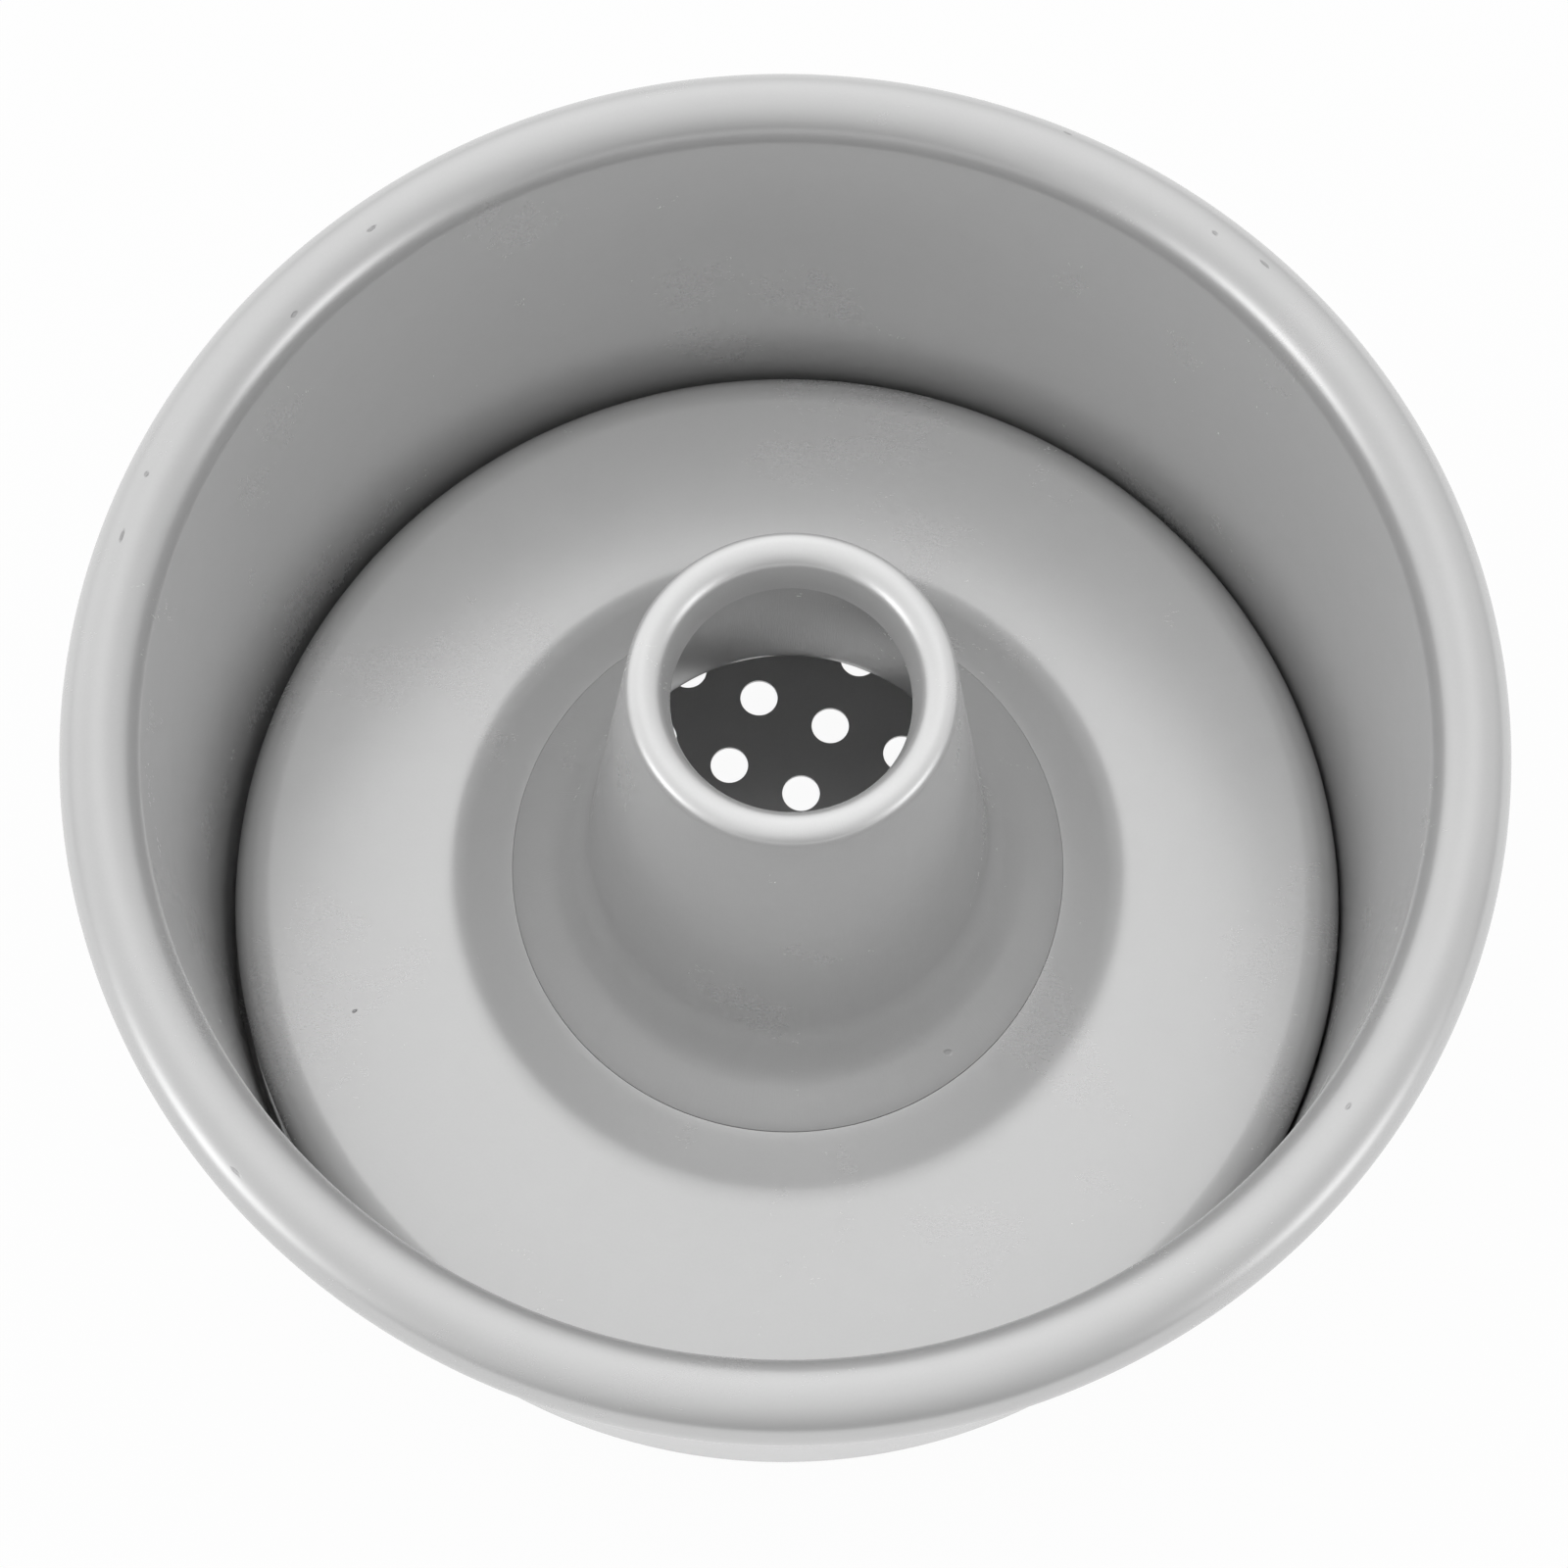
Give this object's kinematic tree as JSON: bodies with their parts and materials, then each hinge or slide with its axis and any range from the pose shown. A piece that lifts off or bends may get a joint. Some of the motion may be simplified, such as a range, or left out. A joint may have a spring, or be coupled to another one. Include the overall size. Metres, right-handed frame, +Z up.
{
  "type": "angel food cake pan",
  "caption": "Round straight-walled cake pan with a rolled rim, a loose perforated floor plate and a lift-out base disc with a flared centre tube.",
  "frame": {"origin": "centre of the pan's resting face, on the axis of the wall", "axes": "+Z up along the wall's axis, +X towards the side where the insert stands closest to the wall"},
  "size_m": [0.2, 0.2, 0.1043],
  "materials": {
    "wall_aluminium": "satin anodised",
    "plate_aluminium": "dull",
    "disc_aluminium": "satin anodised",
    "tube_aluminium": "satin anodised"
  },
  "bodies": {
    "pan": {"pan_wall": "wall_aluminium"},
    "floor": {"floor_plate": "plate_aluminium"},
    "insert": {"base_disc": "disc_aluminium", "centre_tube": "tube_aluminium"}
  },
  "joints": [
    {"name": "floor_lift", "type": "slide", "parent": "pan", "child": "floor", "axis": [0, 0, 1], "range_m": [0, 0.11]},
    {"name": "insert_lift", "type": "slide", "parent": "floor", "child": "insert", "axis": [0, 0, 1], "range_m": [0, 0.12]}
  ]
}
